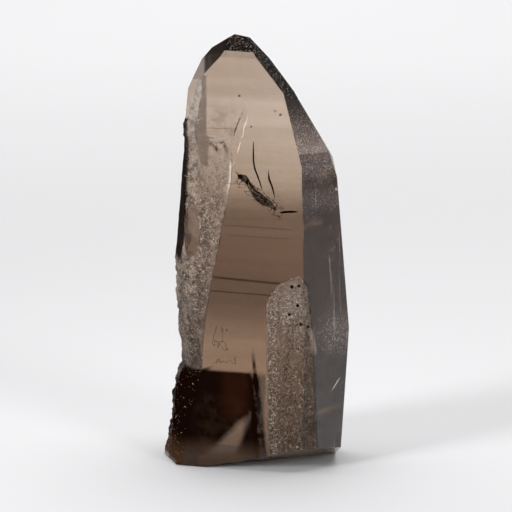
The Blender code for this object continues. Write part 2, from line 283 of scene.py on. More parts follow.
def patch_inside(x, z):
    """How far a point seen from the front lies inside the outline of the patch."""
    nearest = math.inf
    for (ax, az), (bx, bz) in zip(PATCH, PATCH[1:] + PATCH[:1]):
        length = math.hypot(bx - ax, bz - az)
        nearest = min(nearest, ((bx - ax) * (z - az) - (bz - az) * (x - ax)) / length)
    return nearest


def bumps(co, size, stretch=1.0):
    return noise.noise(Vector((co.x / size, co.y / size, co.z / (size * stretch))))


def crust_share(co, normal):
    """How much of the crust's lumps a place has: none at its edges, little on the smooth part of the side."""
    at_side = ease(*CRUST_SIDE_Y, co.y)
    share = max(at_side, ease(0.0, 2.5, beyond_clean_edge(co.x, co.z)))
    share *= 1.0 - ease(CRUST_BACK_Y - CRUST_BACK_FADE, CRUST_BACK_Y, co.y)
    top = CRUST_TOP - 3.0 - CRUST_TOP_DROP * at_side
    share *= (1.0 - ease(top - 7.0, top, co.z)) * ease(0.0, 3.0, co.z)
    if normal.x < SIDE_LOOKS:
        low, high = SMOOTH_SIDE_Z
        smooth = ease(low - 2.0, low + 2.0, co.z) * (1.0 - ease(high - 2.0, high + 2.0, co.z))
        share *= 1.0 - SMOOTH_SIDE_SHARE * smooth
    return share


def weathered_shift(co, normal):
    """How the left side moves: the recess, the scoop, the dent of the outline and the lumps of the crust."""
    from_clean = beyond_clean_edge(co.x, co.z)
    front = 1.0 - ease(*FRONT_FADE_Y, co.y)
    recess = RECESS_SLOPE * min(from_clean, RECESS_BREAK) + RECESS_STEEP * max(0.0, from_clean - RECESS_BREAK)
    recess = min(recess, RECESS_DEEPEST) * (1.0 - ease(CRUST_TOP - CRUST_TOP_FADE, CRUST_TOP, co.z))
    across, up = (co.x - SCOOP_X) / SCOOP_HALF_WIDTH, (co.z - SCOOP_Z) / SCOOP_HALF_HEIGHT
    scoop = SCOOP_DEPTH * max(0.0, 1.0 - across * across - up * up)
    outward = face_normal("front")
    shift = -Vector((outward.x, outward.y, 0.0)).normalized() * ((recess + scoop) * front)
    round_back = 1.0 - ease(CRUST_BACK_Y - CRUST_BACK_FADE, CRUST_BACK_Y, co.y)
    shift.x += along(LEFT_DENT, co.z) * (1.0 - ease(*DENT_FADE_X, co.x)) * round_back
    height = LUMP_HEIGHT * bumps(co, LUMP_SIZE, LUMP_STRETCH) + GRAIN_HEIGHT * bumps(co, GRAIN_SIZE)
    return shift + normal * (height * crust_share(co, normal))


def patch_shift(co, normal):
    """How the etched patch moves: a shallow sunken field of upright ridges."""
    depth = ease(0.0, PATCH_RIM, patch_inside(co.x, co.z))
    ridges = RIDGE_HEIGHT * bumps(co, RIDGE_SIZE, RIDGE_STRETCH)
    return normal * (depth * (ridges + PATCH_GRAIN_HEIGHT * bumps(co, PATCH_GRAIN_SIZE) - PATCH_DEPTH))


def on_front(x, z):
    """The point of the front face at x and a height."""
    normal = face_normal("front")
    return Vector((x, (FACES["front"][2] - normal.x * x - normal.z * z) / normal.y, z))


def walk(line, step):
    """Points at an even spacing along a line of points, each with the way the line runs there."""
    points = [Vector(point) for point in line]
    for start, end in zip(points, points[1:]):
        count = max(1, round((end - start).length / step))
        for index in range(count):
            yield start.lerp(end, index / count), (end - start).normalized()
    yield points[-1], (points[-1] - points[-2]).normalized()


def blade_ring(bm, place, way, crack, size, rows):
    """The corners of a cut across a blade, down one side and up the other. At its ends the sides meet."""
    mouth = on_front(place.x, place.y)
    inward = Vector((CRACK_TURN, 1.0, crack["climb"])).normalized()
    across = Vector((-way.y, 0.0, way.x))
    one_side, other_side = [], []
    reach = crack["depth"] * max(size, CRACK_END)
    for row in range(-1, rows + 1):
        sunk = CRACK_MOUTH + (reach - CRACK_MOUTH) * row / rows if row >= 0 else -CRACK_MOUTH
        half = crack["gape"] / 2.0 * size * (1.0 - (1.0 - CRACK_TIP) * max(0, row) / rows)
        centre = mouth + inward * sunk
        wave = CRACK_WAVE * ease(CRACK_MOUTH, 3.0, sunk) * bumps(centre, CRACK_WAVE_SIZE)
        one_side.append(bm.verts.new(centre + across * (wave - half)))
        other_side.append(bm.verts.new(centre + across * (wave + half)) if half else one_side[-1])
    return one_side + other_side[::-1]


def add_blade(bm, crack, step, rows):
    """Add a blade: thick in the middle of its line, sharp at both ends, thin at its inner edge."""
    stations = list(walk(crack["line"], step))
    rings = []
    for index, (place, way) in enumerate(stations):
        part = index / (len(stations) - 1)
        size = math.sqrt(4.0 * part * (1.0 - part))
        rings.append(blade_ring(bm, place, way, crack, size, rows))
    for one, two in zip(rings, rings[1:]):
        for index in range(len(one)):
            after = (index + 1) % len(one)
            bm.faces.new(dict.fromkeys((one[index], one[after], two[after], two[index])))


def crack_blades(step, rows):
    """All the blades as one mesh. Their faces are numbered after those of the crystal."""
    bm = bmesh.new()
    number = bm.faces.layers.int.new("face")
    bm.faces.layers.int.new("area")
    for crack in CRACKS.values():
        add_blade(bm, crack, step, rows)
    bmesh.ops.recalc_face_normals(bm, faces=bm.faces[:])
    for face in bm.faces:
        face[number] = len(FACES)
    return mesh_of("cracks", bm)


def mesh_of(name, bm):
    mesh = bpy.data.meshes.new(name)
    bm.to_mesh(mesh)
    bm.free()
    return mesh


def cut_out(mesh, blades):
    """Cut the blades out of a mesh, and return what is left to be worked on."""
    body, tool = bpy.data.objects.new("uncut", mesh), bpy.data.objects.new("blades", blades)
    for item in (body, tool):
        bpy.context.scene.collection.objects.link(item)
    cut = body.modifiers.new("cracks", "BOOLEAN")
    cut.operation, cut.solver, cut.object = "DIFFERENCE", "EXACT", tool
    left = bpy.data.meshes.new_from_object(body.evaluated_get(bpy.context.evaluated_depsgraph_get()))
    for item in (body, tool):
        bpy.data.objects.remove(item)
    bm = bmesh.new()
    bm.from_mesh(left)
    return bm


def work(faces, shift):
    """Move the corners of these faces by a shift that depends on the place and the way it looks."""
    normals = {}
    for face in faces:
        for vert in face.verts:
            normals.setdefault(vert, {})[tuple(round(value, 3) for value in face.normal)] = face.normal.copy()
    moved = {}
    for vert, looks in normals.items():
        normal = sum(looks.values(), Vector()).normalized()
        if vert.co.z < SNAP:
            normal = Vector((normal.x, normal.y, 0.0))
        moved[vert] = vert.co + shift(vert.co, normal)
    for vert, place in moved.items():
        vert.co = place


def foot_of(bm):
    """The middle of the crystal's plan, at the height of its foot."""
    low = [min(vert.co[axis] for vert in bm.verts) for axis in range(2)]
    high = [max(vert.co[axis] for vert in bm.verts) for axis in range(2)]
    return Vector(((low[0] + high[0]) / 2.0, (low[1] + high[1]) / 2.0, 0.0))


FINE_GRID = 0.36  # spacing of the fine relief
FINE_CRACK_STEP, FINE_CRACK_ROWS = 0.4, 7
SHARP_ANGLE = 35.0  # degrees at which a ledge is sharp

SIDE_LAYERS = ("crust", "etch", "scoop", "cream", "shaded_streak", "dark", "rim")
MARKED_FACES = {
    # The faces at the top right are painted half dark as shade, with pale dust specks.
    "dust_and_shade": ("dark_bevel", "top_dark", "crown_right"),
    "slope": ("right_rhomb", "right_steep", "right_bevel", "right_front", "right_front_low"),
    "greyed": ("left_notch",),
}
FACE_LAYERS = (*MARKED_FACES, "crack")

# Borders on the weathered side, seen from the front, as (height, x) corners.
CRUST_EDGE = ((0.0, -18.2), (11.0, -18.8), (27.0, -17.6), (37.0, -16.6))
CRUST_EDGE += ((56.0, -16.6), (72.0, -16.4), (96.0, -16.6))
# Right border of the dark left edge, which is painted shade.
DARK_EDGE = ((56.7, -21.7), (60.3, -20.9), (74.5, -19.6), (83.4, -19.0), (98.0, -18.4))
CREAM_LEFT = ((80.0, -18.0), (96.0, -19.0), (98.0, -17.9), (99.6, -16.9), (104.4, -16.0), (108.4, -14.9))
CREAM_RIGHT = ((80.0, -16.9), (93.0, -16.5), (97.5, -15.4), (101.0, -14.6), (108.5, -14.2))
STREAK_LEFT = ((80.0, -15.2), (89.0, -16.7), (97.5, -15.4), (101.0, -14.6), (108.4, -14.2))
# And the heights they run between, with how softly they end.
CREAM_SPAN = (91.0, 110.0, 2.0)
STREAK_SPAN = (82.0, 112.0, 1.5)
RIM_SPAN = (75.0, 84.0, 3.0)
DARK_SPAN = (56.5, 94.0, 1.0)
ROUND_DARK_SPAN = (56.0, 94.0, 1.5)

# Fine relief: (size, upward stretch, height) of each layer of bumps.
CRUST_RELIEF = ((1.1, 1.0, 0.32), (0.55, 1.0, 0.26))
SAND_RELIEF = ((0.8, 1.0, 0.12), (0.42, 1.0, 0.12))
PATCH_RELIEF = ((0.9, 3.0, 0.2), (0.45, 2.0, 0.15))
CRUST_PITS = (2.4, 0.45)  # spacing and depth
PATCH_PITS = (2.0, 0.5)
PIT_REACH = 0.42  # radius of a pit as a part of the spacing


def within(low, high, edge, value):
    """1 between low and high, with soft ends of this width."""
    return ease(low - edge, low + edge, value) * (1.0 - ease(high - edge, high + edge, value))


def pits(co, size, depth):
    """Small round pits scattered over a surface, as a depth."""
    near = noise.voronoi(Vector((co.x / size, co.y / size, co.z / size)))[0][0]
    return depth * math.sqrt(max(0.0, 1.0 - near / PIT_REACH))


def relief(co, layers):
    return sum(height * bumps(co, size, stretch) for size, stretch, height in layers)


def ragged_height(co):
    """The height of a place, moved a little so that borders run ragged."""
    return co.z + 0.8 * bumps(co, 3.1)


def front_masks(co):
    """The weathered side as it is seen from the front, one mask for each of SIDE_LAYERS."""
    x, z = co.x + 0.5 * bumps(co, 2.2, 2.0), ragged_height(co)
    beyond = beyond_clean_edge(co.x, co.z)
    start = ease(-0.1, 0.35, beyond)
    crust = (1.0 - ease(-0.4, 0.4, x - along(CRUST_EDGE, z))) * (1.0 - ease(95.0, 98.0, z))
    etch = 1.0 - 0.85 * ease(76.0, 90.0, z)
    across, up = (co.x - SCOOP_X) / SCOOP_HALF_WIDTH, (co.z - SCOOP_Z) / SCOOP_HALF_HEIGHT
    scoop = 1.0 - ease(0.85, 1.05, across * across + up * up)
    cream = within(along(CREAM_LEFT, z), along(CREAM_RIGHT, z), 0.25, x) * within(*CREAM_SPAN, z)
    # the streak: a dark brown band of painted shade on the etched side
    shaded_streak = within(along(STREAK_LEFT, z), UPPER_CLEAN_X, 0.35, x) * within(*STREAK_SPAN, z)
    uneven = ease(-0.25, 0.2, bumps(co, 1.6, 3.0))
    # rim: a painted highlight along the border of the clean face
    rim = (1.0 - ease(0.5, 1.0, beyond)) * within(*RIM_SPAN, co.z) * uneven * float(co.x > -9.0)
    crust *= (1.0 - scoop) * (1.0 - cream)
    etch *= (1.0 - crust) * (1.0 - scoop) * (1.0 - cream)
    # dark: the left edge, painted dark as shade
    dark = (1.0 - ease(-0.25, 0.25, co.x - along(DARK_EDGE, co.z))) * within(*DARK_SPAN, z)
    return [start * value for value in (crust, etch, scoop, cream, shaded_streak, dark, rim)]


def round_side_masks(co):
    """The same masks round the left side: crust at the foot, painted dark shade and smooth further up."""
    z = ragged_height(co)
    round_back = 1.0 - ease(CRUST_BACK_Y - 6.0, CRUST_BACK_Y - 0.5, co.y)
    crust = 1.0 - ease(54.0, 56.0, z)
    return [round_back * value for value in (crust, 0.0, 0.0, 0.0, 0.0, within(*ROUND_DARK_SPAN, z), 0.0)]


def side_grain(co, masks):
    """The grain of the weathered side in millimetres outwards."""
    crust, etch, _, cream, shaded_streak, _, _ = masks
    rough = relief(co, CRUST_RELIEF) - pits(co, *CRUST_PITS)
    return (crust + 0.5 * cream) * rough + (etch + 0.5 * shaded_streak) * relief(co, SAND_RELIEF)


def side_masks(bm, faces):
    """The masks of each corner of the weathered side. They are nothing where a clean face begins."""
    number, area = bm.faces.layers.int["face"], bm.faces.layers.int["area"]
    front = list(FACES).index("front")
    masks = {}
    for face in faces:
        for vert in face.verts:
            if face[number] == front or vert not in masks:
                values = front_masks(vert.co) if face[number] == front else round_side_masks(vert.co)
                worn = ease(0.4, 2.0, vert.co.z) * all(near[area] == WEATHERED for near in vert.link_faces)
                masks[vert] = [value * worn for value in values]
    return masks


def dress_side(bm, faces):
    """Work the weathered side and write its masks."""
    layers = [bm.verts.layers.float[name] for name in SIDE_LAYERS]
    grain, grit = {}, bm.verts.layers.float["grit"]
    for vert, values in side_masks(bm, faces).items():
        crust, etch, _, cream = values[:4]
        vert[grit] = (0.5 * crust + 0.6 * etch + 0.5 * cream) * (0.3 + 0.7 * ease(22.0, 32.0, vert.co.z))
        grain[tuple(vert.co)] = side_grain(vert.co, values)
        for layer, value in zip(layers, values):
            vert[layer] = value
    work(faces, lambda co, normal: weathered_shift(co, normal) + normal * grain[tuple(co)])


def fine_patch_shift(co, normal):
    """How the etched patch moves, with its fine grain and the pits of its upper end."""
    inside = ease(0.0, 0.9, patch_inside(co.x, co.z))
    pitted = pits(co, *PATCH_PITS) * within(40.0, 52.0, 3.0, co.z)
    return patch_shift(co, normal) + normal * inside * (relief(co, PATCH_RELIEF) - pitted)


def dress_patch(bm, faces):
    """Work the etched patch and write its mask."""
    patch, grit = bm.verts.layers.float["patch"], bm.verts.layers.float["grit"]
    for vert in {vert: None for face in faces for vert in face.verts}:
        vert[patch] = ease(0.0, 0.7, patch_inside(vert.co.x, vert.co.z))
        vert[grit] = vert[patch]
    work(faces, fine_patch_shift)


def write_face_masks(bm):
    """Mark the clean parts of MARKED_FACES and the walls of the cracks."""
    layers = {name: bm.faces.layers.float.new(name) for name in FACE_LAYERS}
    number, area = bm.faces.layers.int["face"], bm.faces.layers.int["area"]
    for layer, names in MARKED_FACES.items():
        for face in faces_named(bm, *names):
            face[layers[layer]] = float(face[area] == CLEAN)
    for face in bm.faces:
        if face[number] == len(FACES):
            level_and_left = abs(face.normal.z) > 0.5 and face.calc_center_median().x < 6.0
            face[layers["crack"]] = 0.55 if level_and_left else 1.0


def sharpen(bm):
    """Smooth shading inside each clean or worked part of a face, sharp edges between them and at ledges."""
    number, area = bm.faces.layers.int["face"], bm.faces.layers.int["area"]
    for edge in bm.edges:
        same = len({(face[number], face[area]) for face in edge.link_faces}) == 1
        edge.smooth = same and edge.calc_face_angle(0.0) < math.radians(SHARP_ANGLE)
    for face in bm.faces:
        face.smooth = True


def build_crystal():
    """The fine crystal in metres with its foot at the origin, and where its foot was."""
    bm = bmesh.new()
    cut_faces(bm)
    mark_areas(bm)
    bm = cut_out(mesh_of("uncracked", bm), crack_blades(FINE_CRACK_STEP, FINE_CRACK_ROWS))
    for name in SIDE_LAYERS + ("patch", "grit"):
        bm.verts.layers.float.new(name)
    write_face_masks(bm)
    dress_patch(bm, lay_grid(bm, faces_of_area(bm, PATCHED), FINE_GRID))
    dress_side(bm, lay_grid(bm, faces_of_area(bm, WEATHERED), FINE_GRID))
    foot = foot_of(bm)
    sharpen(bm)
    bmesh.ops.triangulate(bm, faces=bm.faces[:])
    bmesh.ops.transform(bm, matrix=Matrix.Scale(MM, 4) @ Matrix.Translation(-foot), verts=bm.verts[:])
    return mesh_of("quartz", bm), foot


class Strand:
    """A value in a node tree. Sums with it add the nodes that work them out."""

    def __init__(self, bench, socket):
        self.bench, self.socket = bench, socket

    def sum(self, operation, *values):
        return self.bench.add("ShaderNodeMath", {"operation": operation}, values)

    def __add__(self, other):
        return self.sum("ADD", self, other)

    def __sub__(self, other):
        return self.sum("SUBTRACT", self, other)

    def __rsub__(self, other):
        return self.sum("SUBTRACT", other, self)

    def __mul__(self, other):
        return self.sum("MULTIPLY", self, other)

    __radd__, __rmul__ = __add__, __mul__

    def ramp(self, low, high):
        """0 below low, 1 above high, smooth between."""
        settings = {"interpolation_type": "SMOOTHSTEP"}
        return self.bench.add("ShaderNodeMapRange", settings, (self, low, high, 0.0, 1.0))

    def band(self, low, high, edge):
        """1 between low and high, with soft edges this wide outside them."""
        return self.ramp(low - edge, low) * (1 - self.ramp(high, high + edge))


class Bench:
    """A node tree being filled."""

    def __init__(self, tree):
        self.tree = tree
        tree.nodes.clear()

    def node(self, kind, settings=None, values=()):
        node = self.tree.nodes.new(kind)
        for name, value in (settings or {}).items():
            setattr(node, name, value)
        for key, value in values.items() if isinstance(values, dict) else enumerate(values):
            if isinstance(value, Strand):
                self.tree.links.new(value.socket, node.inputs[key])
            elif value is not None:
                node.inputs[key].default_value = value
        return node

    def add(self, kind, settings=None, values=(), out=0):
        return Strand(self, self.node(kind, settings, values).outputs[out])

    def mask(self, name):
        return self.add("ShaderNodeAttribute", {"attribute_name": name}, out="Fac")

    def place(self):
        return self.add("ShaderNodeTexCoord", out="Object")

    def axes(self):
        """The three object coordinates, in millimetres."""
        node = self.node("ShaderNodeSeparateXYZ", {}, {"Vector": self.place()})
        return [Strand(self, node.outputs[axis]) * 1000.0 for axis in range(3)]

    def noise(self, scale, detail=4.0, roughness=0.55):
        values = {"Vector": self.place(), "Scale": scale, "Detail": detail, "Roughness": roughness}
        return self.add("ShaderNodeTexNoise", {}, values)

    def stretched_noise(self, scales, detail=3.0, roughness=0.6):
        """A noise with its own scale along each axis."""
        place = {"Vector": self.place(), "Scale": scales}
        vector = self.add("ShaderNodeMapping", {"vector_type": "POINT"}, place)
        values = {"Vector": vector, "Scale": 1.0, "Detail": detail, "Roughness": roughness}
        return self.add("ShaderNodeTexNoise", {}, values)

    def hairs(self, scales, thick=0.008):
        """Fine crooked lines: where a noise crosses its middle."""
        return self.stretched_noise(scales).band(0.5 - 0.4 * thick, 0.5 + 0.4 * thick, thick)

    def blend(self, factor, low, high, how="MIX"):
        settings = {"data_type": "RGBA", "blend_type": how, "clamp_factor": True}
        return self.add("ShaderNodeMix", settings, {0: factor, 6: colour(low), 7: colour(high)}, out=2)

    def graded(self, value, high, stops):
        """Colours along a value that runs from 0 to high: a list of (place, tone)."""
        node = self.node("ShaderNodeValToRGB", {}, {"Fac": value * (1.0 / high)})
        ramp = node.color_ramp
        while len(ramp.elements) < len(stops):
            ramp.elements.new(0.5)
        for element, (place, tone) in zip(ramp.elements, stops):
            element.position, element.color = place / high, colour(tone)
        return Strand(self, node.outputs["Color"])

    def principled(self, **values):
        """A Principled shader. An underscore in a name stands for a space of the socket's name."""
        named = {name.replace("_", " "): value for name, value in values.items()}
        return self.add("ShaderNodeBsdfPrincipled", {}, named)

    def mix(self, share, one, other):
        return self.add("ShaderNodeMixShader", {}, {0: share, 1: one, 2: other})

    def finish(self, surface, volume=None, kind="ShaderNodeOutputMaterial"):
        values = {"Surface": surface}
        if volume:
            values["Volume"] = volume
        self.node(kind, {}, values)


def colour(tone):
    """A tone as a node takes it. A value that is worked out in the tree stays as it is."""
    return tone if isinstance(tone, Strand) else (*tone, 1.0)


QUARTZ_IOR = 1.54
RELIEF_DEPTH = 0.0006
SMOKE_INSIDE, SMOKE_DENSITY = (0.60, 0.385, 0.19), 26.0

# How much light the surface lets through at each height, apart from what the thickness takes away. Its darker
# and lighter bands are painted shade and light over the smoky colour.
SMOKE_TOP = 110.0
SMOKE_SHADE_AND_LIGHT = (
    (6.0, (0.34, 0.235, 0.15)),
    (20.0, (0.42, 0.30, 0.20)),
    (34.0, (0.43, 0.32, 0.23)),
    (39.0, (0.26, 0.18, 0.125)),
    (46.0, (0.19, 0.128, 0.088)),
    (56.0, (0.27, 0.185, 0.138)),
    (68.0, (0.29, 0.215, 0.16)),
    (71.5, (0.40, 0.32, 0.255)),
    (74.0, (0.58, 0.48, 0.39)),
    (77.0, (0.69, 0.58, 0.48)),
    (82.0, (0.74, 0.63, 0.53)),
    (96.0, (0.88, 0.76, 0.65)),
    (108.0, (0.70, 0.57, 0.46)),
)
# The same for single places.
LAYER_SMOKE = (0.45, 0.36, 0.3)
# Painted shade: the dark brown streak left of the upper clean face.
STREAK_SHADE = (0.14, 0.09, 0.06)
SHOULDER_SMOKE = (0.52, 0.47, 0.46)
# Painted shade: the sloping faces on the right are darkened above and below.
SLOPE_SHADE_ABOVE = (0.22, 0.18, 0.165)
SLOPE_SHADE_BELOW = (0.20, 0.125, 0.10)
# Painted shade: the near-black left edge.
DARK_EDGE_SHADE = (0.02, 0.012, 0.008)

# The tones of the matt surface, the dark one first where there are two.
ETCHED = (0.10, 0.065, 0.045), (0.42, 0.31, 0.24)
CRUST = (0.05, 0.035, 0.025), (0.36, 0.27, 0.21)
CRUST_PATCHES = (0.06, 0.042, 0.03), (0.54, 0.42, 0.32)
SPECKLE = (0.02, 0.013, 0.01), (0.80, 0.71, 0.62)
CREAM = (0.22, 0.18, 0.15), (0.50, 0.43, 0.37)
DUST = (0.05, 0.04, 0.035), (0.62, 0.57, 0.53)
# Painted soft reflection on the right faces, with pale dust specks.
REFLECTION_VEIL = (0.33, 0.255, 0.225), (0.85, 0.79, 0.74)
PATCH_TONE = (0.60, 0.46, 0.37)
UPPER_TONE = (0.50, 0.42, 0.36)
FOOT_TONE = (0.13, 0.09, 0.06)
# Painted highlight: the rim along the border of the clean face.
RIM_HIGHLIGHT = (0.80, 0.70, 0.61)
# Painted shade in the streak.
STREAK_SHADE_TONE = (0.15, 0.105, 0.075)
GREYED_TONE = (0.31, 0.25, 0.22)
SCOOP_TONE = (0.20, 0.14, 0.11)
# Painted highlights in the patch.
STROKE_HIGHLIGHT = (0.75, 0.66, 0.58)
# Painted highlights: the sliver, and the line along the ridge with the chips.
SLIVER_HIGHLIGHT = (0.60, 0.48, 0.40)
HIGHLIGHT_TONE = (0.86, 0.79, 0.72)

# The tones of the near-black painted shade and of the dark flaws.
SHADE_AND_FLAW_TONE = (0.006, 0.002, 0.001)
REDDISH_SHADE = (0.018, 0.005, 0.002)
FOOT_SHADE = (0.05, 0.025, 0.013)

# The tones of the strewn grains and of the floor.
GRAIN_TONES = (0.22, 0.16, 0.12), (0.80, 0.73, 0.66)
FLOOR_TONE = (0.835, 0.84, 0.86)

# Dark growth lines under the front face: height at x = 0, rise per millimetre, thickness, x from and to.
GROWTH_LINES = (
    (51.4, -0.05, 0.22, -10.9, 8.1),
    (47.9, -0.03, 0.16, -11.7, 4.6),
    (66.0, -0.03, 0.10, -7.6, 8.9),
    (63.4, -0.02, 0.08, -6.8, 8.5),
    (77.4, -0.02, 0.10, -6.9, -2.0),
    (92.3, 0.0, 0.09, -13.0, -7.0),
)
# Dark specks under the front face, and pits in the patch painted dark as shade: x, height, radius.
SPECKS = ((6.6, 96.4, 0.45), (-4.4, 101.2, 0.4), (-1.2, 93.0, 0.3))
SHADED_PITS = ((9.7, 50.3, 0.6), (11.6, 50.6, 0.5), (11.3, 45.3, 0.55))
SHADED_PITS += ((9.1, 42.8, 0.5), (12.2, 40.3, 0.65), (14.1, 39.5, 0.5))
# Where things lie on the crystal: (from, to), or (from, to, how softly they end).
FRONT_Y, BACK_Y = (-6.0, -3.0), (0.0, 4.0)
# Painted highlights: the line along the chipped ridge, the sliver, the nick and the chip.
RIDGE_SLOPE, RIDGE_START = 0.31, -31.6  # the chipped ridge runs along x - slope * height = start
RIDGE_LINE, RIDGE_HEIGHTS = (RIDGE_START - 0.12, RIDGE_START + 0.08, 0.16), (84.5, 93.5, 4.0)
SLIVER_LEAN, SLIVER_LINE, SLIVER_HEIGHTS = 0.17, (21.3, 21.6, 0.9), (34.0, 37.0, 3.5)
NICK_LEAN, NICK_LINE, NICK_X = 1.36, (-7.1, -6.9, 0.3), (21.4, 22.4, 1.0)
CHIP_X, CHIP_HEIGHTS = (21.8, 23.5, 0.4), (76.0, 81.0, 1.0)
# The painted shade at the foot: where the back darkens, its opening, the block with its light wedge, and the
# dark column.
FOOT_TOP, OPENING_X, OPENING_TOP = (20.5, 22.5), (-10.5, 0.2, 1.8), (12.5, 15.5)
BLOCK_TOP, BLOCK_LEAN, BLOCK_RIGHT = (26.0, 26.8), 0.12, (0.8, 2.2)
WEDGE_LEFT, WEDGE_RIGHT, WEDGE_FOOT = (16.8, 20.2), (-8.4, -6.2), (2.5, 5.5)
COLUMN_LEAN, COLUMN_LINE, COLUMN_HEIGHTS = 0.1, (1.2, 2.8, 1.3), (6.0, 24.0, 4.0)
COLUMN_TIP_LINE, COLUMN_TIP_HEIGHTS = (2.3, 2.6, 0.6), (25.0, 28.0, 6.0)


class QuartzBench(Bench):
    """The tree of the crystal's finish, with the places, noises and masks that its parts share."""

    def __init__(self, tree):
        super().__init__(tree)
        self.x, self.y, self.z = self.axes()
        self.masks = {name: self.mask(name) for name in SIDE_LAYERS + ("patch",) + FACE_LAYERS}
        self.grain = self.noise(1500.0, 5.0, 0.75)
        self.sand = self.noise(700.0, 4.0, 0.7)
        self.patches = self.noise(210.0, 5.0, 0.6)
        self.speckle = self.noise(2600.0, 2.0, 0.6)
        self.scratches = self.stretched_noise((900.0, 900.0, 30.0), 3.0, 0.5)
        self.layers = self.stretched_noise((12.0, 12.0, 260.0), 5.0, 0.6)
        self.ridge, self.sliver, self.chip_highlights = self.painted_highlights()

    def tones(self, value, low, high, pair):
        """The dark tone of a pair below low, the light one above high."""
        return self.blend(value.ramp(low, high), *pair)

    def painted_highlights(self):
        """Painted highlights: a line along the chipped ridge, the sliver by the patch and bright chips on the
        right edge.
        """
        x, z = self.x, self.z
        wander = self.stretched_noise((500.0, 500.0, 260.0))
        along_ridge = x - z * RIDGE_SLOPE + wander * 1.6 - 0.8
        ridge = along_ridge.band(*RIDGE_LINE) * z.band(*RIDGE_HEIGHTS)
        ridge = ridge * wander.ramp(0.36, 0.50) * 0.85
        sliver = (x + z * SLIVER_LEAN).band(*SLIVER_LINE) * z.band(*SLIVER_HEIGHTS) * 0.5
        nick = (z - x * NICK_LEAN).band(*NICK_LINE) * x.band(*NICK_X) * 0.7
        chip = x.band(*CHIP_X) * z.band(*CHIP_HEIGHTS) * wander.ramp(0.45, 0.55)
        return ridge, sliver, (nick + chip) * self.masks["slope"]

    def spots(self, places):
        """Small round spots: x, height and radius of each."""
        total = 0.0
        for across, up, radius in places:
            x, z = self.x - across, self.z - up
            total = 1 - (x * x + z * z).ramp(0.2 * radius, radius * radius) + total
        return total

    def growth_lines(self):
        """Thin level dark lines inside the crystal."""
        total = 0.0
        for middle, rise, thick, start, end in GROWTH_LINES:
            line = (self.z - self.x * rise).band(middle - thick, middle + thick, 0.15)
            total = line * self.x.band(start, end, 1.5) * (thick * 2.6) + total
        return total


def smoke_and_shade_tint(b):
    """What passes through the surface: greyer above, brown below, in faint level layers, with painted shade and
    light over it: darker and lighter bands by height, the shaded streak, the darkened right slopes and the dark
    left edge.
    """
    x, z, slope = b.x, b.z, b.masks["slope"]
    tint = b.graded(z + 3.0 * b.patches - 1.5, SMOKE_TOP, SMOKE_SHADE_AND_LIGHT)
    tint = b.blend(b.layers.ramp(0.25, 0.75) * 0.35, tint, LAYER_SMOKE, "MULTIPLY")
    tint = b.blend(b.masks["shaded_streak"] * 0.9, tint, STREAK_SHADE)
    upper = z.ramp(90.0, 100.0) * 0.7
    tint = b.blend((1 - x.ramp(-13.6, -12.6)) * upper, tint, SHOULDER_SMOKE)
    # painted shade that darkens the sloping faces on the right
    tint = b.blend(slope * upper, tint, SLOPE_SHADE_ABOVE)
    tint = b.blend(slope * (1 - z.ramp(8.0, 44.0)) * 0.5, tint, SLOPE_SHADE_BELOW)
    return b.blend(b.masks["dark"], tint, DARK_EDGE_SHADE)


def weathered_tint(b):
    """The matt colour of the crust, the etched side and the patch."""
    z, masks = b.z, b.masks
    crusty = b.tones(b.sand, 0.40, 0.62, CRUST)
    crusty = b.blend(b.patches.ramp(0.42, 0.62) * 0.55, crusty, CRUST_PATCHES[1])
    crusty = b.blend((1 - b.patches.ramp(0.36, 0.47)) * 0.45, crusty, CRUST_PATCHES[0])
    matt = b.blend(masks["crust"], b.tones(b.sand, 0.36, 0.66, ETCHED), crusty)
    matt = b.blend(masks["patch"] * (0.15 + 0.3 * z.ramp(24.0, 40.0)), matt, PATCH_TONE)
    matt = b.blend(z.ramp(76.0, 88.0) * 0.35, matt, UPPER_TONE)
    matt = b.blend((1 - z.ramp(20.0, 74.0)) * 0.95, matt, FOOT_TONE, "MULTIPLY")
    matt = b.blend((1 - b.speckle.ramp(0.33, 0.41)) * 0.85, matt, SPECKLE[0])
    return b.blend(b.speckle.ramp(0.60, 0.68) * (0.35 + 0.5 * z.ramp(10.0, 66.0)), matt, SPECKLE[1])


def matt_tint(b):
    """The matt colour of every part, with its light marks."""
    x, z, masks = b.x, b.z, b.masks
    matt = b.blend(masks["cream"], weathered_tint(b), b.tones(b.sand, 0.3, 0.6, CREAM))
    matt = b.blend(masks["rim"], matt, RIM_HIGHLIGHT)
    matt = b.blend(masks["shaded_streak"] * 0.8, matt, STREAK_SHADE_TONE)
    matt = b.blend(masks["dust_and_shade"], matt, b.tones(b.speckle, 0.58, 0.64, DUST))
    matt = b.blend(masks["slope"], matt, b.tones(b.speckle, 0.58, 0.68, REFLECTION_VEIL))
    matt = b.blend(masks["greyed"], matt, GREYED_TONE)
    matt = b.blend(masks["scoop"], matt, SCOOP_TONE)
    # painted highlights in the patch: bright strokes and a column of glints
    highlight_strokes = z.band(40.0, 47.0, 3.0) * x.band(8.0, 13.0, 1.5) * b.hairs((260.0, 260.0, 950.0), 0.02)
    glints = x.band(3.2, 5.4, 0.8) * b.speckle.ramp(0.54, 0.62)
    matt = b.blend(masks["patch"] * (highlight_strokes + glints * 0.8) * 0.9, matt, STROKE_HIGHLIGHT)
    matt = b.blend(b.sliver, matt, SLIVER_HIGHLIGHT)
    return b.blend(b.ridge + b.chip_highlights, matt, HIGHLIGHT_TONE)


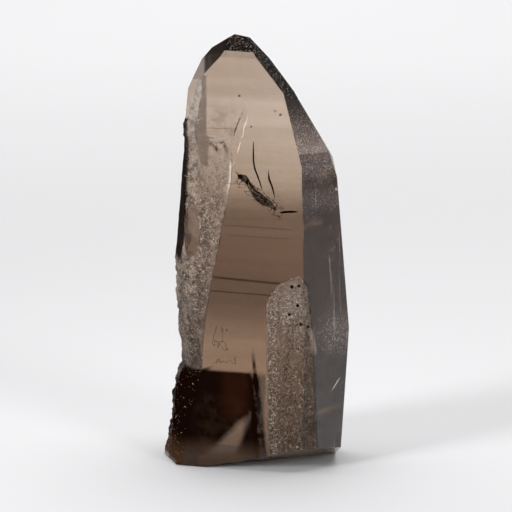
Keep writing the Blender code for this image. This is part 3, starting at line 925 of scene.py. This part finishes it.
def weathered_share(b):
    """How much of the weathered side and the patch is matt."""
    masks = b.masks
    speckled = b.speckle.ramp(0.60, 0.68) + 1 - b.speckle.ramp(0.33, 0.41)
    etched = masks["crust"] + masks["etch"] + masks["patch"] + masks["cream"]
    upwards = 0.2 + 0.25 * (1 - b.z.ramp(60.0, 92.0)) + 0.3 * b.patches
    share = masks["crust"] * 0.85 + masks["etch"] * upwards + masks["cream"] * 0.85
    share = share + masks["patch"] * (0.35 + 0.4 * b.patches) + masks["rim"] * 0.5
    return share + masks["scoop"] * 0.35 + masks["shaded_streak"] * 0.8 + etched * 0.4 * speckled


def slope_share(b):
    """How much of the sloping faces on the right is veiled: painted soft reflection in level bands, with
    scratches and dust in it.
    """
    x, z = b.x, b.z
    sheen_bands = (1 - z.ramp(86.0, 101.0)) * z.ramp(85.5, 86.5) + z.band(82.0, 85.5, 4.0) * 0.5
    sheen_bands = sheen_bands + z.band(72.5, 74.5, 3.5) * 0.25 + z.band(36.0, 38.0, 7.0) * x.ramp(14.0, 22.0) * 0.4
    veil = 0.13 + 0.5 * sheen_bands + 0.3 * b.scratches.ramp(0.62, 0.72) + 0.15 * b.patches.ramp(0.5, 0.7)
    dusted = 0.4 * b.speckle.ramp(0.50, 0.72) + 0.25 * b.grain.ramp(0.45, 0.65)
    return b.masks["slope"] * (veil + dusted * (0.06 * z.ramp(24.0, 40.0) + sheen_bands))


def matt_share(b):
    """How much of the surface is matt, not clear."""
    x, z, masks = b.x, b.z, b.masks
    share = weathered_share(b) + masks["dust_and_shade"] * (0.03 + 0.5 * b.speckle.ramp(0.58, 0.66))
    share = share + b.ridge * 0.9 + b.sliver + b.chip_highlights * 0.9
    left_of_ridge = 1 - (x - z * RIDGE_SLOPE).ramp(RIDGE_START - 0.6, RIDGE_START)
    corner = x.ramp(-14.0, -12.0) * left_of_ridge * z.band(84.0, 94.0, 6.0)
    share = share + corner * (1 - masks["slope"]) * b.patches.ramp(0.40, 0.65) * 0.30
    share = share + masks["greyed"] * (1 - x.ramp(-14.4, -13.4)) * (1 - z.ramp(111.0, 114.0)) * 0.8
    return share + slope_share(b)


def painted_foot_shade(b):
    """Painted shade at the foot: the dark block with the light wedge in it, the dark column beside it and the
    darkened low corner of the weathered side.
    """
    x, y, z = b.x, b.y, b.z
    behind, before = y.ramp(*BACK_Y), 1 - y.ramp(*FRONT_Y)
    opening = x.band(*OPENING_X) * (1 - z.ramp(*OPENING_TOP))
    back = (1 - z.ramp(*FOOT_TOP)) * (1 - 0.36 * x.ramp(0.0, 2.5)) * (1 - x.ramp(6.0, 7.5)) * (1 - opening)
    mottled = b.noise(330.0, 5.0, 0.65)
    wedge = (1 - (z - x + mottled * 3.0).ramp(*WEDGE_LEFT)) * (1 - (x - z * 0.415).ramp(*WEDGE_RIGHT))
    wedge = wedge * z.ramp(*WEDGE_FOOT)
    block = (1 - z.ramp(*BLOCK_TOP)) * (1 - (x + z * BLOCK_LEAN).ramp(*BLOCK_RIGHT)) * (1 - 0.92 * wedge)
    block = block * (0.60 + 0.38 * z.ramp(2.0, 8.0)) * (0.9 + 0.2 * mottled)
    leaning = x + z * COLUMN_LEAN
    column = leaning.band(*COLUMN_LINE) * z.band(*COLUMN_HEIGHTS)
    column = column + leaning.band(*COLUMN_TIP_LINE) * z.band(*COLUMN_TIP_HEIGHTS)
    column = column * (0.45 + 0.5 * mottled.ramp(0.35, 0.6))
    corner = (1 - z.ramp(21.0, 25.0)) * (b.masks["crust"] + b.masks["etch"])
    corner = corner * (1 - 0.5 * b.grain.ramp(0.5, 0.6)) * 0.85
    return behind * back * 0.985 + before * (block + column) + corner


def flaws_and_shade(b):
    """Dark flaws (growth lines, the mesh round the fracture, squiggles, blots, specks) and painted shade in the
    pits and grooves of the patch.
    """
    x, z, patch = b.x, b.z, b.masks["patch"]
    blotches = b.noise(420.0, 5.0, 0.65)
    lines = b.growth_lines() * (0.5 + blotches) * (1 - patch)
    mesh = (z + x * 0.72).band(73.6, 76.6, 1.2) * x.band(-4.5, 6.5, 1.5)
    mesh = mesh * b.hairs((420.0, 420.0, 700.0), 0.022)
    squiggles = x.band(-12.0, -6.0, 1.0) * z.band(29.0, 38.0, 1.0)
    squiggles = squiggles * b.hairs((190.0, 190.0, 120.0), 0.011) * 0.6
    blots = x.band(-10.6, -8.8, 0.6) * z.band(84.0, 88.0, 1.5) * b.hairs((300.0, 300.0, 200.0), 0.015)
    groove_shade = patch * x.ramp(6.5, 8.5) * b.hairs((800.0, 800.0, 260.0), 0.014) * 0.65
    spots = b.spots(SPECKS) * 0.7 + b.spots(SHADED_PITS) * 0.95
    return (lines + mesh + squiggles + blots + groove_shade + spots) * (1 - b.y.ramp(*FRONT_Y))


def crack_walls(b):
    """Painted shade on the walls of the cracks, torn where they are lightest."""
    torn = b.hairs((700.0, 700.0, 900.0), 0.03) + b.noise(420.0, 5.0, 0.65).ramp(0.5, 0.62)
    torn = torn + 1 - b.x.ramp(-4.6, -2.6)
    return b.masks["crack"].ramp(0.6, 0.9) + b.masks["crack"] * (0.35 + 1.5 * torn)


def unlit_share(b):
    """Where the surface is painted near black: painted shade at the foot, on the dark faces at the top, on the
    left edge, on the crack walls and in pits and grooves; and the dark flaws under the front face.
    """
    # painted shade: the dark faces at the top and the dark top of the notch face
    shaded_faces = b.masks["dust_and_shade"] * 0.5 * (1 - b.speckle.ramp(0.56, 0.64))
    shaded_faces = shaded_faces + b.masks["greyed"] * b.z.ramp(109.0, 113.0) * 0.6
    return shaded_faces + painted_foot_shade(b) + crack_walls(b) + b.masks["dark"] * 0.9 + flaws_and_shade(b)


def shade_and_flaw_tint(b):
    """The colour of the painted shade and the dark flaws: reddish in the painted block, browner at the very
    foot.
    """
    reddish = b.x.band(-7.0, -4.0, 4.0) * b.z.band(17.0, 24.0, 6.0)
    return b.blend(1 - b.z.ramp(2.0, 9.0), b.blend(reddish, SHADE_AND_FLAW_TONE, REDDISH_SHADE), FOOT_SHADE)


def new_material(name, kind=Bench):
    material = bpy.data.materials.new(name)
    material.use_nodes = True
    return material, kind(material.node_tree)


def smoky_quartz():
    """Clear smoky quartz with matt parts, painted highlights, near-black painted shade and dark flaws."""
    material, b = new_material("smoky_quartz", QuartzBench)
    masks = b.masks
    frosted = (masks["crust"] + masks["etch"] + masks["patch"] + masks["cream"]).ramp(0.0, 1.0)
    rough = 0.02 + frosted * (0.3 + 0.3 * b.grain) + masks["dust_and_shade"] * 0.10 + masks["scoop"] * 0.12
    rough = rough + (masks["shaded_streak"] + masks["dark"]) * 0.2
    height = (b.grain * 0.4 + b.sand) * (frosted + masks["patch"] * 0.5)
    bump = b.add("ShaderNodeBump", {}, {"Strength": 1.0, "Distance": RELIEF_DEPTH, "Height": height})
    clear = b.principled(
        Base_Color=smoke_and_shade_tint(b), Roughness=rough, IOR=QUARTZ_IOR, Transmission_Weight=1.0, Normal=bump
    )
    frost = b.principled(Base_Color=matt_tint(b), Roughness=0.45, IOR=QUARTZ_IOR, Normal=bump)
    shade_and_flaws = b.principled(Base_Color=shade_and_flaw_tint(b), Roughness=0.9, Specular_IOR_Level=0.0)
    surface = b.mix(unlit_share(b), b.mix(matt_share(b), clear, frost), shade_and_flaws)
    smoke = b.add("ShaderNodeVolumeAbsorption", {}, {"Color": colour(SMOKE_INSIDE), "Density": SMOKE_DENSITY})
    b.finish(surface, smoke)
    return material


def pale_grain():
    """The bright specks of etched quartz."""
    material, b = new_material("pale_grain")
    shade = b.blend(b.noise(900.0, 2.0, 0.5).ramp(0.4, 0.65), *GRAIN_TONES)
    b.finish(b.principled(Base_Color=shade, Roughness=0.25, IOR=QUARTZ_IOR))
    return material


def pale_paper():
    material, b = new_material("floor")
    b.finish(b.principled(Base_Color=colour(FLOOR_TONE), Roughness=0.85))
    return material


class Tree(Bench):
    """A tree of geometry nodes with named inputs."""

    def __init__(self, name, inputs):
        super().__init__(bpy.data.node_groups.new(name, "GeometryNodeTree"))
        self.sockets = {}
        interface = self.tree.interface
        interface.new_socket("Geometry", in_out="INPUT", socket_type="NodeSocketGeometry")
        for label, kind in inputs.items():
            self.sockets[label] = interface.new_socket(label, in_out="INPUT", socket_type=kind).identifier
        interface.new_socket("Geometry", in_out="OUTPUT", socket_type="NodeSocketGeometry")
        self.inputs = self.node("NodeGroupInput")

    def given(self, label):
        return Strand(self, self.inputs.outputs[label])

    def returned(self, geometry):
        self.node("NodeGroupOutput", {}, {"Geometry": geometry})


# The strewn grains: the inputs of their tree, and the smallest and largest as parts of the full radius.
GRAIN_INPUTS = {"Per square millimetre": "NodeSocketFloat", "Grain": "NodeSocketFloat", "Seed": "NodeSocketInt"}
GRAIN_VALUES = {"Per square millimetre": 2.2, "Grain": 0.15, "Seed": 7}
SMALLEST_GRAIN, LARGEST_GRAIN = (0.35, 0.35, 0.2), (1.0, 1.0, 0.55)


def grain_tree(material):
    """Small flattened grains strewn over a mesh, as thickly as its grit says."""
    b = Tree("grains", GRAIN_INPUTS)
    grit = b.add("GeometryNodeInputNamedAttribute", {"data_type": "FLOAT"}, {"Name": "grit"})
    density = b.given("Per square millimetre") * 1e6 * grit
    values = {"Mesh": b.given("Geometry"), "Density": density, "Seed": b.given("Seed")}
    points = b.node("GeometryNodeDistributePointsOnFaces", {}, values)
    shape = b.add("GeometryNodeMeshIcoSphere", {}, {"Radius": 1.0, "Subdivisions": 1})
    sizes = {"Min": SMALLEST_GRAIN, "Max": LARGEST_GRAIN, "Seed": b.given("Seed")}
    size = b.add("FunctionNodeRandomValue", {"data_type": "FLOAT_VECTOR"}, sizes)
    scaled = {"Vector": size, "Scale": b.given("Grain") * MM}
    values = {
        "Points": Strand(b, points.outputs["Points"]),
        "Instance": shape,
        "Rotation": Strand(b, points.outputs["Rotation"]),
        "Scale": b.add("ShaderNodeVectorMath", {"operation": "SCALE"}, scaled),
    }
    strewn = b.add("GeometryNodeInstanceOnPoints", {}, values)
    solid = b.add("GeometryNodeRealizeInstances", {}, {"Geometry": strewn})
    b.returned(b.add("GeometryNodeSetMaterial", {}, {"Geometry": solid, "Material": material}))
    return b


def add_piece(name, mesh, material):
    piece = bpy.data.objects.new(name, mesh)
    mesh.materials.clear()
    mesh.materials.append(material)
    bpy.context.scene.collection.objects.link(piece)
    return piece


def add_crystal():
    """The fine crystal in place of the plain solid. Returns it and where its foot was."""
    mesh, foot = build_crystal()
    crystal = add_piece("crystal_fine", mesh, smoky_quartz())
    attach(crystal, "root")
    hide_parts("crystal")
    return crystal, foot


def add_grains(crystal):
    """Strew grains over the etched and crusted parts of the crystal, as a piece of their own."""
    material = pale_grain()
    grains = add_piece("grains", crystal.data.copy(), material)
    b = grain_tree(material)
    strew = grains.modifiers.new("grains", "NODES")
    strew.node_group = b.tree
    for label, value in GRAIN_VALUES.items():
        strew[b.sockets[label]] = value
    depsgraph = bpy.context.evaluated_depsgraph_get()
    mesh = bpy.data.meshes.new_from_object(grains.evaluated_get(depsgraph))
    grains.modifiers.clear()
    grains.data = mesh
    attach(grains, "root")


FLOOR_HALF, FLOOR_DROP = 30.0, -0.0002

# Lamps in metres: name, place, aim, size, watts, spread in degrees.
LAMPS = (
    ("ceiling", (0.0, 3.1, 1.8), (0.0, 3.1, 0.0), (3.0, 7.0), 110.0, 180.0),
    ("left_fill", (-0.72, -0.62, 0.38), (0.0, 0.0, 0.06), (0.3, 0.3), 0.4, 40.0),
    ("right_fill", (0.55, -0.85, 0.40), (0.0, 0.0, 0.06), (0.3, 0.3), 0.2, 40.0),
)
WORLD_FRONT, WORLD_BACK = (0.042, 0.036, 0.034), (0.305, 0.29, 0.275)

CAMERA_REACH, CAMERA_RISE = 0.700, 8.0  # metres away, degrees above level
CAMERA_AIM = 0.056  # height that it looks at
CAMERA_LENS, CAMERA_SENSOR = 178.2, 36.0

RENDER_SETTINGS = {
    "max_bounces": 24,
    "glossy_bounces": 16,
    "transmission_bounces": 20,
    "transparent_max_bounces": 16,
    "use_denoising": True,
}


def add_floor():
    mesh = bpy.data.meshes.new("floor")
    corners = ((-1, -1), (1, -1), (1, 1), (-1, 1))
    places = [(x * FLOOR_HALF, y * FLOOR_HALF, FLOOR_DROP) for x, y in corners]
    mesh.from_pydata(places, [], [(0, 1, 2, 3)])
    add_piece("floor", mesh, pale_paper())


def add_lamp(name, place, aim, size, power, spread):
    """A soft square lamp that lights the floor and matt surfaces but isn't mirrored in the crystal."""
    data = bpy.data.lights.new(name, "AREA")
    data.shape, data.size, data.size_y = "RECTANGLE", size[0], size[1]
    data.energy, data.spread = power, math.radians(spread)
    lamp = bpy.data.objects.new(name, data)
    lamp.location = place
    lamp.rotation_euler = (Vector(aim) - Vector(place)).to_track_quat("-Z", "Y").to_euler()
    bpy.context.scene.collection.objects.link(lamp)
    lamp.visible_glossy = lamp.visible_transmission = False


def add_world():
    """Even light that is dim in front and paler behind the crystal."""
    world = bpy.data.worlds.new("studio")
    bpy.context.scene.world = world
    world.use_nodes = True
    b = Bench(world.node_tree)
    way = b.node("ShaderNodeSeparateXYZ", {}, {"Vector": b.add("ShaderNodeTexCoord", out="Generated")})
    light = b.blend(Strand(b, way.outputs["Y"]).ramp(-0.3, 0.6), WORLD_FRONT, WORLD_BACK)
    background = b.add("ShaderNodeBackground", {}, {"Color": light, "Strength": 1.0})
    b.finish(background, kind="ShaderNodeOutputWorld")


def add_camera(foot):
    """The photograph's camera, level with the middle of the crystal."""
    rise = math.radians(CAMERA_RISE)
    data = bpy.data.cameras.new("camera")
    data.lens, data.sensor_width = CAMERA_LENS, CAMERA_SENSOR
    camera = bpy.data.objects.new("camera", data)
    target = Vector((-foot.x * MM, -foot.y * MM, CAMERA_AIM))
    camera.location = target + Vector((0.0, -CAMERA_REACH * math.cos(rise), CAMERA_REACH * math.sin(rise)))
    camera.rotation_euler = (math.radians(90.0) - rise, 0.0, 0.0)
    bpy.context.scene.collection.objects.link(camera)
    bpy.context.scene.camera = camera


def set_render():
    scene = bpy.context.scene
    scene.view_settings.view_transform = "Standard"
    for name, value in RENDER_SETTINGS.items():
        setattr(scene.cycles, name, value)


def main():
    crystal, foot = add_crystal()
    add_grains(crystal)
    add_floor()
    add_world()
    for lamp in LAMPS:
        add_lamp(*lamp)
    add_camera(foot)
    set_render()


main()
